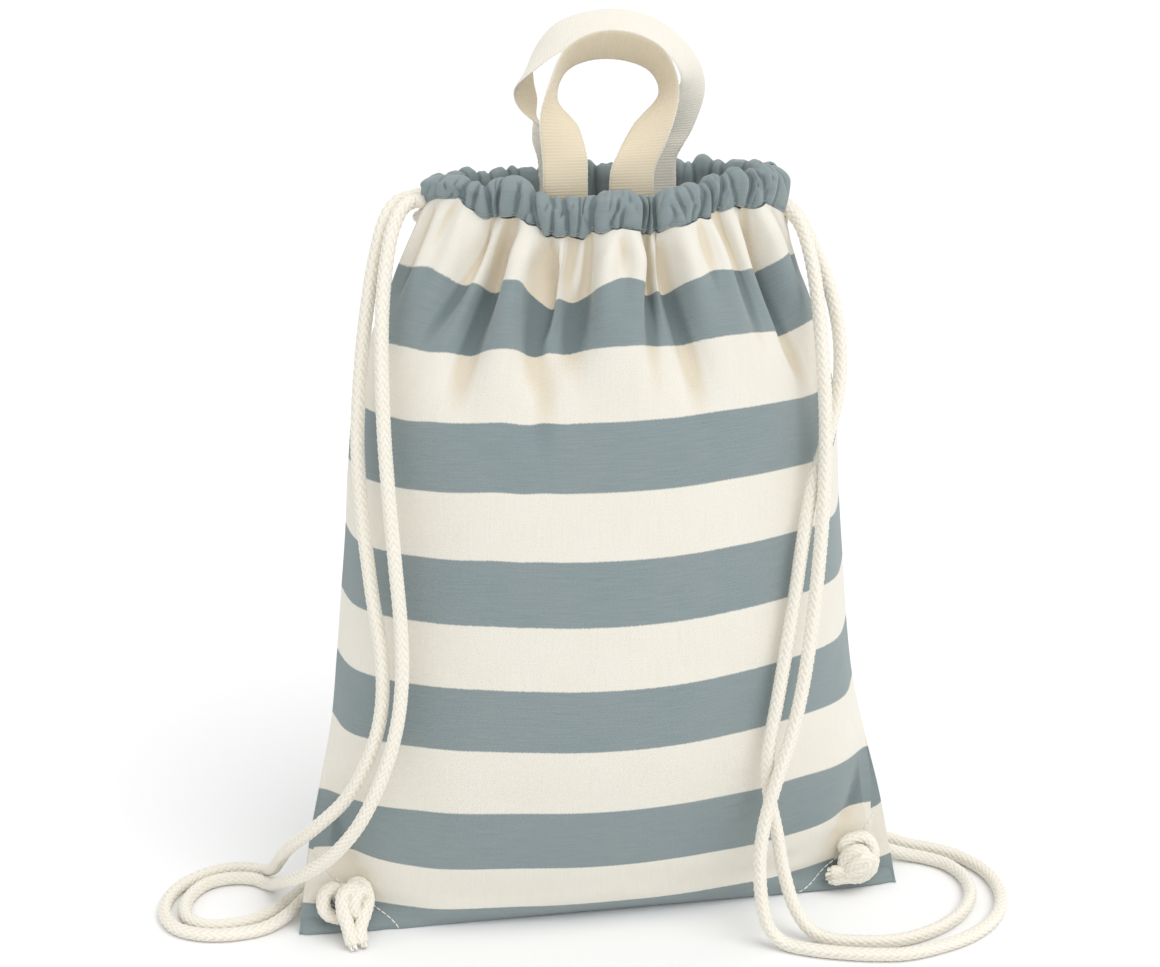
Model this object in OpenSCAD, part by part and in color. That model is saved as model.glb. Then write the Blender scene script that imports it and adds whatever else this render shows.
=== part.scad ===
// Striped cotton drawstring sack, standing filled, with two webbing grab handles and two rope drawcords.
// X runs across the sack, the front faces -Y, Z is up. The origin is on the floor, under the middle.

/* [Canvas] */
// Thickness of the canvas
canvas_t = 1.6; // [1.2:0.1:2]
// Half of the gap between the front and back panels where they lie flat on each other
ply_gap = 1; // [0.8:0.1:1.2]
// Height of each casing at the mouth
casing_h = 25; // [24:1:26]
// Thickness of a casing with its cords inside
casing_t = 12; // [11.6:0.1:12.4]

/* [Cords] */
// Diameter of the braided rope
cord_d = 8; // [7:0.5:8]
// Height of the left cord's run through the casings
left_run_z = 444.5; // [444:0.5:445]
// Height of the right cord's run through the casings
right_run_z = 433.5; // [433:0.5:434]
// Radius of each knot's loops
knot_r = 8.5; // [8:0.5:9]

/* [Corners] */
// Distance of each cord hole from the middle
hole_x = 159; // [156:1:160]
// Height of each cord hole
hole_z = 22; // [21:1:24]
// Radius of each cord hole
hole_r = 6; // [5.8:0.1:6.4]
// Side of each corner's reinforcement triangle
patch_side = 56; // [50:1:58]

/* [Handles] */
// Width of the webbing
webbing_w = 25; // [24:0.5:25]
// Thickness of the webbing
webbing_t = 2; // [1.6:0.1:2.2]
// Distance of each handle's sewn ends from the middle of the mouth
handle_y = 29; // [28:0.5:29.5]

/* [Hidden] */

blue_grey = [0.53, 0.6, 0.62];
cream = [0.94, 0.92, 0.87];
rope = [0.93, 0.9, 0.82];

// Stations of the filled body: height, half width, seam y, front y, back y, half width share that is filled
stations = [
    [0, 188, -30, -30, 34, 0.7],
    [12, 186, -27.2, -42, 48, 0.73],
    [30, 183, -23, -50, 57, 0.78],
    [60, 178, -16, -60, 66, 0.88],
    [90, 171, -10, -68, 72, 0.96],
    [130, 162, -4, -76, 77, 1],
    [170, 157, 0, -79, 80, 1],
    [210, 153, 0, -80, 80, 1],
    [250, 149, 0, -80, 80, 1],
    [290, 146, 0, -78, 78, 1],
    [330, 141, 0, -74, 74, 1],
    [370, 129, 0, -67, 67, 1],
    [405, 114, 0, -55, 55, 1],
    [426, 103, 0, -43, 43, 1]
];
section_p = 2.2;
section_q = 0.62;
columns = 28;
casing_z = 426.5;
casing_half = 100;
casing_mid_y = 39.5;
casing_end_y = 10;
casing_power = 0.5;
casing_steps = 30;
ear_slope = 0.2333;
ear_tilt = atan(ear_slope);
hole_y = stations[0][2] + ear_slope * hole_z;
stub_r = hole_r - 0.6;
stub_back = 26;
pivot_z = 454.5;
strand_sides = 8;

// Share of the full depth at s, from -1 at one seam to 1 at the other, where k of the width is filled
function fullness(s, k) = abs(s) >= k ? 0 : pow(1 - pow(abs(s) / k, section_p), section_q);

// Face of a panel: side is -1 at the front and 1 at the back, skin is 0 outside and 1 inside
function face_row(st, side, skin) = [
    for (i = [0 : columns])
        let (
            s = -cos(i * 180 / columns),
            deep = abs((side < 0 ? st[3] : st[4]) - st[2]),
            full = deep > canvas_t ? fullness(s, st[5]) : 0
        )
        [
            s * (st[1] - skin * canvas_t),
            st[2] + side * (ply_gap + deep * full + (1 - skin) * canvas_t * (1 - full)
                - skin * canvas_t * full),
            max(st[0], skin * canvas_t)
        ]
];

// Closed shell between two grids of points with the same rows and columns
module shell(outside, inside, flip) {
    rows = len(outside);
    cols = len(outside[0]);
    count = rows * cols;
    points = concat([for (r = outside) each r], [for (r = inside) each r]);
    function at(r, c) = r * cols + c;
    skin_faces = [
        for (r = [0 : rows - 2], c = [0 : cols - 2])
            each [
                [at(r, c), at(r, c + 1), at(r + 1, c + 1)],
                [at(r, c), at(r + 1, c + 1), at(r + 1, c)]
            ]
    ];
    edge = concat(
        [for (c = [0 : cols - 2]) at(0, c)],
        [for (r = [0 : rows - 2]) at(r, cols - 1)],
        [for (c = [cols - 1 : -1 : 1]) at(rows - 1, c)],
        [for (r = [rows - 1 : -1 : 1]) at(r, 0)]
    );
    rim = [
        for (i = [0 : len(edge) - 1])
            let (a = edge[i], b = edge[(i + 1) % len(edge)])
            each [[b, a, a + count], [b, a + count, b + count]]
    ];
    faces = concat(
        [for (f = skin_faces) f],
        [for (f = skin_faces) [f[2] + count, f[1] + count, f[0] + count]],
        rim
    );
    polyhedron(points, [for (f = faces) flip ? f : [f[2], f[1], f[0]]]);
}

// Point on a smooth curve through pts, t counted in points
function spline(pts, t) =
    let (
        n = len(pts),
        i = min(floor(t), n - 2),
        f = t - i,
        a = pts[max(i - 1, 0)],
        b = pts[i],
        c = pts[i + 1],
        d = pts[min(i + 2, n - 1)]
    )
    0.5 * (2 * b + (c - a) * f + (2 * a - 5 * b + 4 * c - d) * f * f
        + (3 * b - a - 3 * c + d) * f * f * f);

function unit(v) = v / norm(v);

// Turns v by the smallest turn that takes direction a to direction b
function carry(v, a, b) = let (w = v - (v * b) * b) unit(norm(w) < 0.001 ? cross(b, a) : w);

function directions(pts) = [
    for (i = [0 : len(pts) - 1])
        unit(pts[min(i + 1, len(pts) - 1)] - pts[max(i - 1, 0)])
];

function normals(dirs, i = 0, made = []) =
    i == len(dirs) ? made
    : normals(dirs, i + 1, concat(made, [
        i == 0 ? unit(cross(dirs[0], abs(dirs[0][2]) < 0.9 ? [0, 0, 1] : [0, 1, 0]))
               : carry(made[i - 1], dirs[i - 1], dirs[i])
    ]));

// Closed tube or ribbon from rings of points
module swept(rings, flip = false) {
    n = len(rings);
    k = len(rings[0]);
    points = [for (r = rings) each r];
    sides = [
        for (i = [0 : n - 2], j = [0 : k - 1])
            let (a = i * k + j, b = i * k + (j + 1) % k)
            each [[a, b, b + k], [a, b + k, a + k]]
    ];
    ends = concat(
        [for (j = [1 : k - 2]) [0, j + 1, j]],
        [for (j = [1 : k - 2]) [(n - 1) * k, (n - 1) * k + j, (n - 1) * k + j + 1]]
    );
    faces = concat(sides, ends);
    polyhedron(points, [for (f = faces) flip ? [f[2], f[1], f[0]] : f]);
}

// Round tube of radius r along pts
module tube(pts, r, sides) {
    dirs = directions(pts);
    ns = normals(dirs);
    swept([
        for (i = [0 : len(pts) - 1])
            let (n = ns[i], b = cross(dirs[i], n))
            [for (j = [0 : sides - 1]) pts[i] + r * (cos(j * 360 / sides) * n + sin(j * 360 / sides) * b)]
    ], true);
}

// Routes of the four free strands, from the casing's end to the back of the corner
left_back_route = [
    [-100, 9.6, 444.5], [-102, 6.2, 444.5], [-107, 5, 444], [-114, 4, 441], [-121, -2, 432], [-128, -11, 411], [-134, -19, 383],
    [-139, -25, 348], [-142, -31, 310], [-141, -39, 270], [-138, -48, 230], [-134, -55, 190],
    [-136, -58, 156], [-145, -57, 126], [-158, -51, 100], [-176, -40, 77], [-191, -19, 54],
    [-197, 6, 32], [-201, 28, 14], [-208, 43, 4.7], [-223, 49, 4.2], [-242, 45, 4.2],
    [-258, 33, 4.2], [-267, 16, 4.2], [-268, -3, 4.2], [-260, -19, 4.2], [-244, -28, 4.2],
    [-226, -30, 4.2], [-208, -26, 4.2], [-194, -16, 6], [-183, -5, 10], [-173, 2, 14], [-165, 3, 16]
];
left_front_route = [
    [-100, -9.6, 444.5], [-102, -6.2, 444.5], [-107, -6, 443.5], [-113, -10, 439], [-119, -17, 426], [-124, -26, 402], [-127, -36, 372],
    [-128, -45, 330], [-127, -52, 290], [-125, -58, 250], [-123, -62, 210], [-124, -65, 176],
    [-129, -67, 146], [-139, -67, 116], [-152, -63, 88], [-168, -53, 64], [-184, -36, 44],
    [-195, -14, 28], [-199, 8, 14], [-204, 24, 5.2], [-214, 34, 4.2], [-228, 37, 4.2],
    [-242, 33, 4.2], [-252, 21, 4.2], [-256, 6, 4.2], [-254, -8, 4.2], [-244, -17, 4.2],
    [-229, -19, 4.2], [-214, -15, 4.2], [-201, -6, 4.2], [-190, 5, 5.2], [-178, 14, 9],
    [-166, 16, 12], [-156, 10, 15], [-154, 3, 16]
];
right_front_route = [
    [100, -9.6, 433.5], [102, -6.2, 433.5], [107, -6, 432.5], [113, -12, 428], [117, -21, 417], [120, -33, 394], [122, -44, 360],
    [123, -53, 322], [122, -60, 282], [119, -66, 242], [115, -71, 204], [110, -75, 168],
    [103, -79, 136], [94, -82, 108], [87, -84, 82], [84, -86, 58], [85, -88, 34],
    [89, -91, 15], [98, -96, 5.2], [112, -104, 4.2], [130, -111, 4.2], [149, -116, 4.2],
    [168, -118, 4.2], [189, -114, 4.2], [210, -106, 4.2], [228, -93, 4.2], [241, -75, 4.2],
    [247, -53, 4.2], [245, -31, 4.2], [235, -12, 4.2], [222, 0, 4.2], [208, 8, 4.2],
    [195, 16, 6], [182, 21, 9], [169, 20, 12.5], [159, 13, 15], [154, 3, 16]
];
right_back_route = [
    [100, 9.6, 433.5], [102, 6.2, 433.5], [107, 5, 433], [114, 4, 430], [121, 0, 420], [129, -8, 401], [135, -16, 381],
    [138, -24, 358], [136, -33, 333], [127, -44, 305], [117, -53, 280], [110, -61, 248],
    [105, -66, 215], [100, -70, 185], [95, -73, 155], [90, -75, 122], [92, -72, 94],
    [97, -74, 68], [101, -77, 44], [107, -82, 22], [116, -89, 8], [129, -96, 4.2],
    [146, -101, 4.2], [164, -103, 4.2], [183, -99, 4.2], [201, -90, 4.2], [216, -77, 4.2],
    [227, -59, 4.2], [230, -39, 4.2], [225, -22, 4.2], [214, -11, 4.2], [201, -5, 5.2],
    [188, -2, 9], [176, 2, 13], [166, 3, 16]
];

// Handle routes: a point on the webbing's middle line, then the direction across its width
front_handle_route = [
    [[-23, -29, 455.7], [1, 0, 0]], [[-23, -29, 464], [1, 0, 0]],
    [[-25, -28.5, 473], [0.99, 0.1, -0.05]],
    [[-30, -26, 488], [0.7, 0.6, -0.3]], [[-31, -22, 506], [0.35, 0.8, -0.45]],
    [[-22, -16, 521], [0.1, 0.75, -0.65]], [[-5, -12, 528], [0, 0.68, -0.73]],
    [[14, -12, 527.5], [-0.03, 0.68, -0.73]], [[30, -15, 520], [-0.15, 0.75, -0.65]],
    [[38, -20, 505], [-0.4, 0.75, -0.5]], [[34, -25, 488], [-0.7, 0.6, -0.3]],
    [[21, -28.5, 473], [-0.99, 0.1, -0.05]], [[15, -29, 464], [-1, 0, 0]], [[14, -29, 455.7], [-1, 0, 0]]
];
back_handle_route = [
    [[-17, 29, 455.7], [-1, 0, 0]], [[-20, 29, 464], [-1, 0, 0]],
    [[-26, 28.5, 473], [-0.99, 0.1, 0.05]], [[-35, 26, 486], [-0.7, 0.65, 0.25]], [[-38, 22, 500], [-0.4, 0.8, 0.4]],
    [[-32, 16, 517], [-0.15, 0.85, 0.5]], [[-18, 12, 530], [0, 0.84, 0.54]],
    [[0, 10, 536], [0, 0.84, 0.54]], [[20, 10, 536], [0, 0.84, 0.54]],
    [[40, 12, 528], [0.1, 0.84, 0.53]], [[55, 17, 511], [0.35, 0.82, 0.45]],
    [[60, 23, 493], [0.65, 0.68, 0.3]], [[54, 28.5, 474], [0.99, 0.1, 0.05]],
    [[48, 29, 464], [1, 0, 0]], [[43, 29, 455.7], [1, 0, 0]]
];

// Middle line of a casing in plan, at height z: side is -1 at the front and 1 at the back
function casing_line(side, z) = [
    for (i = [0 : casing_steps])
        let (a = 180 * i / casing_steps)
        [-casing_half * cos(a), side * (casing_end_y + (casing_mid_y - casing_end_y) * pow(sin(a), casing_power)), z]
];

// Rounded upright section of a casing, w wide and h high, along a middle line in plan
module sleeve(line, w, h) {
    dirs = directions(line);
    corner = 4;
    swept([
        for (i = [0 : len(line) - 1])
            let (across = unit([dirs[i][1], -dirs[i][0], 0]))
            [
                for (q = [0 : 3], a = [0, 45, 90])
                    let (
                        t = q * 90 + a,
                        sx = q == 0 || q == 3 ? 1 : -1,
                        sz = q < 2 ? 1 : -1,
                        r = min(corner, w / 2 - 0.2)
                    )
                    line[i] + across * (sx * (w / 2 - r) + r * cos(t))
                        + [0, 0, sz * (h / 2 - r) + r * sin(t)]
            ]
    ]);
}

module cord_hole(side, r, reach) {
    translate([side * hole_x, hole_y, hole_z])
        rotate([90 - ear_tilt, 0, 0])
            cylinder(r = r, h = 2 * reach, center = true, $fn = 48);
}

module panel(side) {
    fold = [[stations[0][0], stations[0][1], stations[0][2], stations[0][2], stations[0][2], stations[0][5]]];
    rows = side < 0 ? stations : concat(fold, stations);
    difference() {
        shell(
            [for (st = rows) face_row(st, side, 0)],
            [for (st = rows) face_row(st, side, 1)],
            side > 0
        );
        cord_hole(-1, hole_r, 12);
        cord_hole(1, hole_r, 12);
    }
}

module casing(side) {
    line = casing_line(side, casing_z + casing_h / 2);
    wall = 1.2;
    difference() {
        sleeve(line, casing_t, casing_h);
        sleeve(
            concat([line[0] - [0, side, 0]], line, [line[casing_steps] - [0, side, 0]]),
            casing_t - 2 * wall,
            casing_h - 2 * wall
        );
    }
}

module side_seam(side) {
    rows = [for (st = stations) if (st[0] < 420) st];
    w = 8;
    inset = 4.5;
    t = 1;
    swept([
        for (st = rows)
            let (x = side * (st[1] - inset), z = max(st[0], 3.2))
            [
                [x, st[2] - t / 2, z],
                [x - side * w, st[2] - t / 2, z],
                [x - side * w, st[2] + t / 2, z],
                [x, st[2] + t / 2, z]
            ]
    ], side < 0);
}

module corner_patch(side) {
    t = 1.2;
    inset = 14;
    x0 = side * (stations[0][1] - inset);
    low = 4;
    difference() {
        translate([0, stations[0][2], 0])
            rotate([-ear_tilt, 0, 0])
                translate([0, t / 2, 0])
                    rotate([90, 0, 0])
                        linear_extrude(t)
                            polygon([
                                [x0, low],
                                [x0 - side * (patch_side - inset), low],
                                [x0 - side * 14, patch_side],
                                [x0 - side * 9, patch_side]
                            ]);
        cord_hole(side, hole_r, 12);
    }
}

module hole_edge(side) {
    r = 1;
    translate([side * hole_x, hole_y, hole_z])
        rotate([90 - ear_tilt, 0, 0])
            translate([0, 0, ply_gap + canvas_t + r + 0.25])
                rotate_extrude($fn = 48)
                    translate([hole_r + r, 0])
                        circle(r = r, $fn = 24);
}

// One cord inside both casings, turning round the mouth's far end
module cord_run(far, z) {
    front = casing_line(-1, z);
    back = casing_line(1, z);
    out = far > 0 ? front : [for (i = [casing_steps : -1 : 0]) front[i]];
    home = far > 0 ? [for (i = [casing_steps : -1 : 0]) back[i]] : back;
    across = [[far * (casing_half + 1.5), -3, z], [far * (casing_half + 1.5), 3, z]];
    tube(concat(out, across, home), cord_d / 2, 10);
}

module strand(route, rings) {
    last = len(route) - 1;
    tube([for (i = [0 : rings - 1]) spline(route, last * i / (rings - 1))], cord_d / 2, strand_sides);
}

module cord_end(to, r) {
    hull() {
        sphere(r = r, $fn = 20);
        translate(to)
            sphere(r = r, $fn = 20);
    }
}

// The two cord ends pulled through the hole and tied, with their cut tails
module knot(side, tails) {
    front = ply_gap + canvas_t + 3;
    translate([side * hole_x, hole_y, hole_z])
        rotate([90 - ear_tilt, 0, 0]) {
            translate([0, 0, -stub_back])
                cylinder(r = stub_r, h = stub_back + front + 2, $fn = 40);
            translate([0, 0, front + cord_d * 0.55]) {
                rotate_extrude($fn = 40)
                    translate([knot_r, 0])
                        circle(r = cord_d * 0.55, $fn = 20);
                translate([0, 0, 7.5])
                    rotate([55, 20 * side, 0])
                        rotate_extrude($fn = 40)
                            translate([knot_r * 0.62, 0])
                                circle(r = cord_d / 2, $fn = 20);
            }
            for (to = tails)
                translate([0, 0, front + cord_d])
                    cord_end(to, cord_d * 0.45);
        }
}

module ribbon(route) {
    points = [for (p = route) p[0]];
    across = [for (p = route) p[1]];
    last = len(route) - 1;
    steps = 3 * last;
    line = [for (i = [0 : steps]) spline(points, last * i / steps)];
    dirs = directions(line);
    swept([
        for (i = [0 : steps])
            let (
                w0 = spline(across, last * i / steps),
                w = unit(w0) * webbing_w / 2,
                n = unit(cross(dirs[i], w)) * webbing_t / 2
            )
            [line[i] + w + n, line[i] - w + n, line[i] - w - n, line[i] + w - n]
    ], true);
}

// Sewn ends of a handle, flat against the inside of the casing
module handle_ends(route, side) {
    top = pivot_z - webbing_t / 2 - 0.3;
    for (i = [0, len(route) - 1])
        translate([route[i][0][0] - webbing_w / 2, side * handle_y - webbing_t / 2, casing_z + 1])
            cube([webbing_w, webbing_t, top - casing_z - 1]);
}

module front_panel() {
    color(blue_grey)
        panel(-1);
}

module back_panel() {
    color(cream)
        panel(1);
}

module front_casing() {
    color(blue_grey)
        casing(-1);
}

module back_casing() {
    color(blue_grey)
        casing(1);
}

module left_side_seam() {
    color(cream)
        side_seam(-1);
}

module right_side_seam() {
    color(cream)
        side_seam(1);
}

module left_corner_patch() {
    color(cream)
        corner_patch(-1);
}

module right_corner_patch() {
    color(cream)
        corner_patch(1);
}

module left_hole_edge() {
    color(cream)
        hole_edge(-1);
}

module right_hole_edge() {
    color(cream)
        hole_edge(1);
}

module left_cord_run() {
    color(rope)
        cord_run(1, left_run_z);
}

module right_cord_run() {
    color(rope)
        cord_run(-1, right_run_z);
}

module left_front_strand() {
    color(rope)
        strand(left_front_route, 36);
}

module left_back_strand() {
    color(rope)
        strand(left_back_route, 36);
}

module right_front_strand() {
    color(rope)
        strand(right_front_route, 38);
}

module right_back_strand() {
    color(rope)
        strand(right_back_route, 38);
}

module left_knot() {
    color(rope)
        knot(-1, [[4, -14, 6], [10, -11, 9]]);
}

module right_knot() {
    color(rope)
        knot(1, [[-14, -8, 4], [-10, -13, 8]]);
}

module front_handle() {
    color(rope)
        ribbon(front_handle_route);
}

module back_handle() {
    color(rope)
        ribbon(back_handle_route);
}

module front_handle_ends() {
    color(rope)
        handle_ends(front_handle_route, -1);
}

module back_handle_ends() {
    color(rope)
        handle_ends(back_handle_route, 1);
}

front_panel();
back_panel();
front_casing();
back_casing();
left_side_seam();
right_side_seam();
left_corner_patch();
right_corner_patch();
left_hole_edge();
right_hole_edge();
left_cord_run();
right_cord_run();
left_front_strand();
left_back_strand();
right_front_strand();
right_back_strand();
left_knot();
right_knot();
front_handle();
back_handle();
front_handle_ends();
back_handle_ends();
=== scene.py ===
import math

import bpy
import numpy as np
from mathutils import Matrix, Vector


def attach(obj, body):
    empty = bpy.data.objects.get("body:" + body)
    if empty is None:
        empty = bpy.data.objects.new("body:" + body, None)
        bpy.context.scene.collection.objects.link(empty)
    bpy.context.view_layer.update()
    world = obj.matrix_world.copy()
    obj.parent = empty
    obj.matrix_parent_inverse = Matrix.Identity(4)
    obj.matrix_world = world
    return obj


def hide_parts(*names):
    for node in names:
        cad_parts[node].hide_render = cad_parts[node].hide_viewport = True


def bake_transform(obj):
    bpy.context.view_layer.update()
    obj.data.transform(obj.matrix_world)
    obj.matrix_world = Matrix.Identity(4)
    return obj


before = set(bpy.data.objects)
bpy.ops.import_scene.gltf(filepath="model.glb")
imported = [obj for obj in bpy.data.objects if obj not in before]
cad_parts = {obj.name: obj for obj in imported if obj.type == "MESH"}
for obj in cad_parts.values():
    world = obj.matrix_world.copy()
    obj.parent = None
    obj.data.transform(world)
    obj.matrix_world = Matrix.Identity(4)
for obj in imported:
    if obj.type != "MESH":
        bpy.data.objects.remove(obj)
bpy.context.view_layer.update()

MM = 0.001
SHARP_ANGLE = 40.0
# yarn height given to parts without one: high enough that the braid's painted groove shade is nil on them
UNSHADED_YARN_HEIGHT = 0.7
CANVAS_T = 1.1

# ---- camera -------------------------------------------------------------------------------
LENS = 68.3
TARGET = Vector((-0.010, 0.0, 0.270))
AZIMUTH = math.radians(-9.5)
ELEVATION = math.radians(20.0)
DISTANCE = 1.300


def make_camera():
    data = bpy.data.cameras.new("camera")
    data.lens = LENS
    data.sensor_width = 36.0
    data.clip_start = 0.05
    data.clip_end = 50.0
    cam = bpy.data.objects.new("camera", data)
    bpy.context.scene.collection.objects.link(cam)
    back = Vector((
        math.sin(AZIMUTH) * math.cos(ELEVATION),
        -math.cos(AZIMUTH) * math.cos(ELEVATION),
        math.sin(ELEVATION),
    ))
    cam.location = TARGET + back * DISTANCE
    cam.rotation_mode = "QUATERNION"
    cam.rotation_quaternion = (-back).to_track_quat("-Z", "Y")
    bpy.context.scene.camera = cam


make_camera()

# ---- small tools ----------------------------------------------------------------------------


def unit(v):
    n = np.linalg.norm(v, axis=-1, keepdims=True)
    return v / np.maximum(n, 1e-9)


def spline(points, per):
    """Catmull-Rom line through the points, per steps to each span; rows of a grid work too."""
    p = np.asarray(points, float)
    last = len(p) - 1
    i = np.arange(last)
    a = p[np.maximum(i - 1, 0)]
    b = p[i]
    c = p[i + 1]
    d = p[np.minimum(i + 2, last)]
    out = np.zeros((last * per + 1,) + p.shape[1:])
    for k in range(per):
        f = k / per
        out[k:last * per:per] = 0.5 * (2 * b + (c - a) * f + (2 * a - 5 * b + 4 * c - d) * f * f
                                       + (3 * b - a - 3 * c + d) * f ** 3)
    out[-1] = p[last]
    return out


def lengths(line):
    return np.concatenate([[0], np.cumsum(np.linalg.norm(np.diff(line, axis=0), axis=1))])


def evenly(line, count):
    """The same line with so many points, an equal way apart."""
    s = lengths(line)
    t = np.linspace(0, s[-1], count)
    return np.stack([np.interp(t, s, line[:, k]) for k in range(line.shape[1])], 1)


def resample(line, step):
    """The same line with points an equal way apart, close to step."""
    return evenly(line, max(3, int(round(lengths(line)[-1] / step)) + 1))


def frames(line):
    """Directions and two carried side vectors along a line."""
    d = unit(np.gradient(line, axis=0))
    n = np.zeros_like(d)
    first = np.cross(d[0], [0.0, 0.0, 1.0])
    if np.linalg.norm(first) < 0.1:
        first = np.cross(d[0], [1.0, 0.0, 0.0])
    n[0] = first / np.linalg.norm(first)
    for i in range(1, len(d)):
        w = n[i - 1] - d[i] * np.dot(n[i - 1], d[i])
        n[i] = w / np.linalg.norm(w)
    return d, n, np.cross(d, n)


def hermite(z, known, values):
    """Smooth curve through a table of values."""
    known = np.asarray(known, float)
    values = np.asarray(values, float)
    slope = np.gradient(values, known)
    z = np.clip(z, known[0], known[-1])
    i = np.clip(np.searchsorted(known, z, side="right") - 1, 0, len(known) - 2)
    h = known[i + 1] - known[i]
    t = (z - known[i]) / h
    return ((2 * t ** 3 - 3 * t ** 2 + 1) * values[i] + (t ** 3 - 2 * t ** 2 + t) * h * slope[i]
            + (-2 * t ** 3 + 3 * t ** 2) * values[i + 1] + (t ** 3 - t ** 2) * h * slope[i + 1])


def smooth_step(x, low, high):
    t = np.clip((x - low) / (high - low), 0, 1)
    return t * t * (3 - 2 * t)


def add_object(name, mesh, material=None):
    if material:
        mesh.materials.append(material)
    obj = bpy.data.objects.new(name, mesh)
    bpy.context.scene.collection.objects.link(obj)
    return obj


def set_point_values(mesh, name, values):
    """A number at each point of a mesh, for its material to read."""
    mesh.attributes.new(name, "FLOAT", "POINT").data.foreach_set("value", values.astype(np.float32))


def quad_object(name, verts, faces, material, uv):
    """A mesh object of four-sided faces, from points and cloth places in millimetres."""
    mesh = bpy.data.meshes.new(name)
    v = np.asarray(verts, float) * MM
    faces = np.asarray(faces, int)
    size = faces.shape[1]
    mesh.vertices.add(len(v))
    mesh.vertices.foreach_set("co", v.astype(np.float32).ravel())
    mesh.loops.add(faces.size)
    mesh.loops.foreach_set("vertex_index", faces.ravel().astype(np.int32))
    mesh.polygons.add(len(faces))
    mesh.polygons.foreach_set("loop_start", (np.arange(len(faces)) * size).astype(np.int32))
    mesh.polygons.foreach_set("loop_total", np.full(len(faces), size, np.int32))
    mesh.update(calc_edges=True)
    mesh.polygons.foreach_set("use_smooth", np.ones(len(faces), bool))
    layer = mesh.uv_layers.new(name="cloth")
    layer.data.foreach_set("uv", (np.asarray(uv, float) * MM)[faces.ravel()].astype(np.float32).ravel())
    mesh.validate()
    mesh.set_sharp_from_angle(angle=math.radians(SHARP_ANGLE))
    return add_object(name, mesh, material)


def grid_faces(rows, cols, wrap=False):
    """Faces between the points of a grid; wrap joins the last column to the first."""
    r = np.arange(rows - 1)[:, None]
    c = np.arange(cols if wrap else cols - 1)[None, :]
    n = (c + 1) % cols
    a = r * cols + c
    b = r * cols + n
    d = (r + 1) * cols + n
    e = (r + 1) * cols + c
    return np.stack([a, b, d, e], -1).reshape(-1, 4)


def sheet_faces(rows, cols, outward):
    """Faces of a closed sheet: a grid of outer points, a grid of inner points, and the rim between them."""
    count = rows * cols
    top = grid_faces(rows, cols)
    k = np.arange(count).reshape(rows, cols)
    ring = np.concatenate([k[0, :-1], k[:-1, -1], k[-1, :0:-1], k[:0:-1, 0]])
    after = np.roll(ring, -1)
    rim = np.stack([ring, after, after + count, ring + count], -1)
    if outward < 0:
        top = top[:, ::-1]
    else:
        rim = rim[:, ::-1]
    return np.concatenate([top, top[:, ::-1] + count, rim])


def grid_normals(p):
    du = np.gradient(p, axis=1)
    dv = np.gradient(p, axis=0)
    return unit(np.cross(du, dv))


def hollows(grid, reach):
    """How sharply a sheet bends across at each point: above 0 in a crease, below 0 on a ridge."""
    n = grid_normals(grid)
    ahead = np.roll(grid, -reach, axis=1)
    behind = np.roll(grid, reach, axis=1)
    step = np.linalg.norm(ahead - behind, axis=-1) / 2 + 1e-6
    bend = np.sum(n * (ahead + behind - 2 * grid), axis=-1) / step
    bend[:, :reach] = 0
    bend[:, -reach:] = 0
    return bend


def canvas_sheet(name, grid, uv, outward, reach=4):
    """A closed sheet of canvas: its outer face is the grid, its inner face lies a thickness behind."""
    inner = grid - grid_normals(grid) * outward * CANVAS_T
    verts = np.concatenate([grid.reshape(-1, 3), inner.reshape(-1, 3)])
    faces = sheet_faces(*grid.shape[:2], outward)
    obj = quad_object(name, verts, faces, CANVAS, np.concatenate([uv.reshape(-1, 2)] * 2))
    # the crease depth goes to the material as "fold", where it paints shade into the creases
    bend = hollows(grid, reach) * outward
    set_point_values(obj.data, "fold", np.concatenate([bend.ravel(), -bend.ravel()]))
    return obj


def tube_mesh(line, radii, sides):
    """Points and faces of a closed tube; radii is one number per ring, or one per ring and side."""
    _, n, b = frames(line)
    turn = np.arange(sides) * 2 * math.pi / sides
    ring = n[:, None, :] * np.cos(turn)[None, :, None] + b[:, None, :] * np.sin(turn)[None, :, None]
    points = line[:, None, :] + ring * np.asarray(radii, float).reshape(len(line), -1)[:, :, None]
    centre = len(line) * sides
    i = np.arange(sides)
    j = (i + 1) % sides
    last = (len(line) - 1) * sides
    start_cap = np.stack([np.full(sides, centre), j, i], -1)
    end_cap = np.stack([np.full(sides, centre + 1), last + i, last + j], -1)
    verts = np.concatenate([points.reshape(-1, 3), line[:1], line[-1:]])
    return verts, (grid_faces(len(line), sides, wrap=True), start_cap, end_cap)


def joined_object(name, parts, material, sharp=0.0):
    """One object from parts: points, groups of faces, and perhaps cloth places and yarn heights."""
    verts = []
    faces = []
    uvs = []
    yarn_heights = []
    at = 0
    for points, groups, *more in parts:
        verts.append(points)
        for group in groups:
            faces.extend((group + at).tolist())
        uvs.append(more[0] if more else np.zeros((len(points), 2)))
        yarn_heights.append(more[1] if len(more) > 1 else np.full(len(points), UNSHADED_YARN_HEIGHT))
        at += len(points)
    uv = np.concatenate(uvs) * MM
    mesh = bpy.data.meshes.new(name)
    mesh.from_pydata((np.concatenate(verts) * MM).tolist(), [], faces)
    mesh.polygons.foreach_set("use_smooth", np.ones(len(mesh.polygons), bool))
    layer = mesh.uv_layers.new(name="cloth")
    index = np.zeros(len(mesh.loops), np.int32)
    mesh.loops.foreach_get("vertex_index", index)
    layer.data.foreach_set("uv", uv[index].astype(np.float32).ravel())
    # yarn heights go to the mesh as "grain", where the braid's material paints shade into the grooves
    set_point_values(mesh, "grain", np.concatenate(yarn_heights))
    if sharp:
        mesh.set_sharp_from_angle(angle=math.radians(sharp))
    return add_object(name, mesh, material)


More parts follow.
